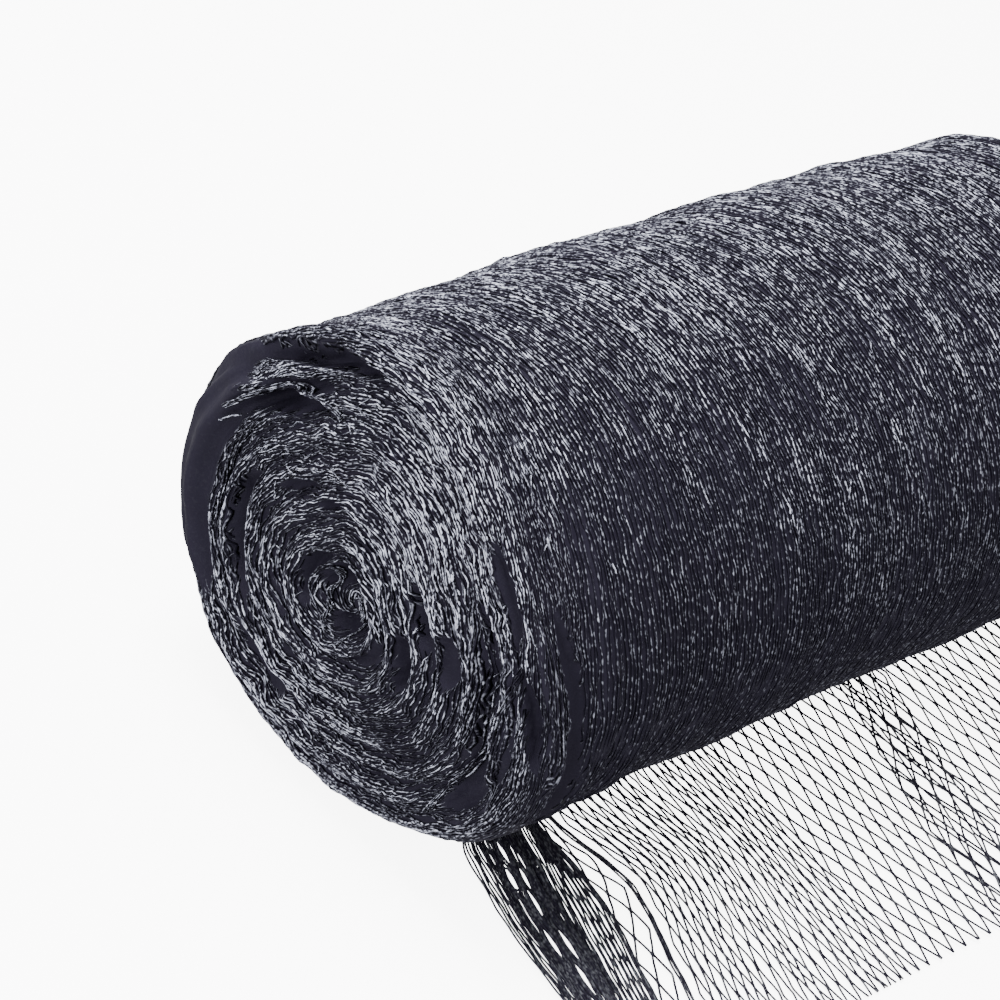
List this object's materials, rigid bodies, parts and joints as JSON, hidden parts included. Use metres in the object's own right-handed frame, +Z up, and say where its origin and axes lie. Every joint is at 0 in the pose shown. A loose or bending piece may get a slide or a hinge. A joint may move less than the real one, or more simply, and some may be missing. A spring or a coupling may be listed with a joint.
{
  "type": "bird netting roll",
  "caption": "Wound roll of black diamond-mesh bird netting lying on its side, its loose end spread flat from beneath and gathered along one edge.",
  "frame": {"origin": "the roll's flat spot on the floor, half way along the roll", "axes": "+X along the roll from its near end to its far end, +Z up, the loose end runs out along -Y"},
  "size_m": [0.5035, 0.3984, 0.2693],
  "materials": {
    "wound_net": "satin",
    "loose_net": "satin"
  },
  "bodies": {
    "root": {"net_roll": "wound_net", "loose_net": "loose_net"}
  },
  "joints": []
}
